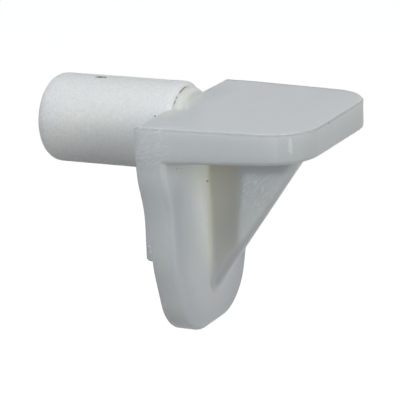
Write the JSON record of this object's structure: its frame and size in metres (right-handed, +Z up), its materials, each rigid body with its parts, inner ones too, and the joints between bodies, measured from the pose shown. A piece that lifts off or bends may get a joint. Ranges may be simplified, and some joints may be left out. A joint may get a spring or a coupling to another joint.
{
  "type": "shelf support pin",
  "caption": "Moulded plastic shelf support: a round pin for a drilled wall hole carries a flat plate, braced from below by a tapered back and a triangular web.",
  "frame": {"origin": "on the axis of the wall pin, in the plane of the cabinet wall that the back lies against", "axes": "-X along the pin into the wall, +X the way the plate reaches out, +Z up out of the seat, +Y across the plate"},
  "size_m": [0.0175, 0.0116, 0.0138],
  "materials": {
    "natural_plastic": "natural, slightly translucent moulded plastic: smooth low gloss, with a fine satin texture on the pin"
  },
  "bodies": {
    "root": {"shelf_support": "natural_plastic"}
  },
  "joints": []
}
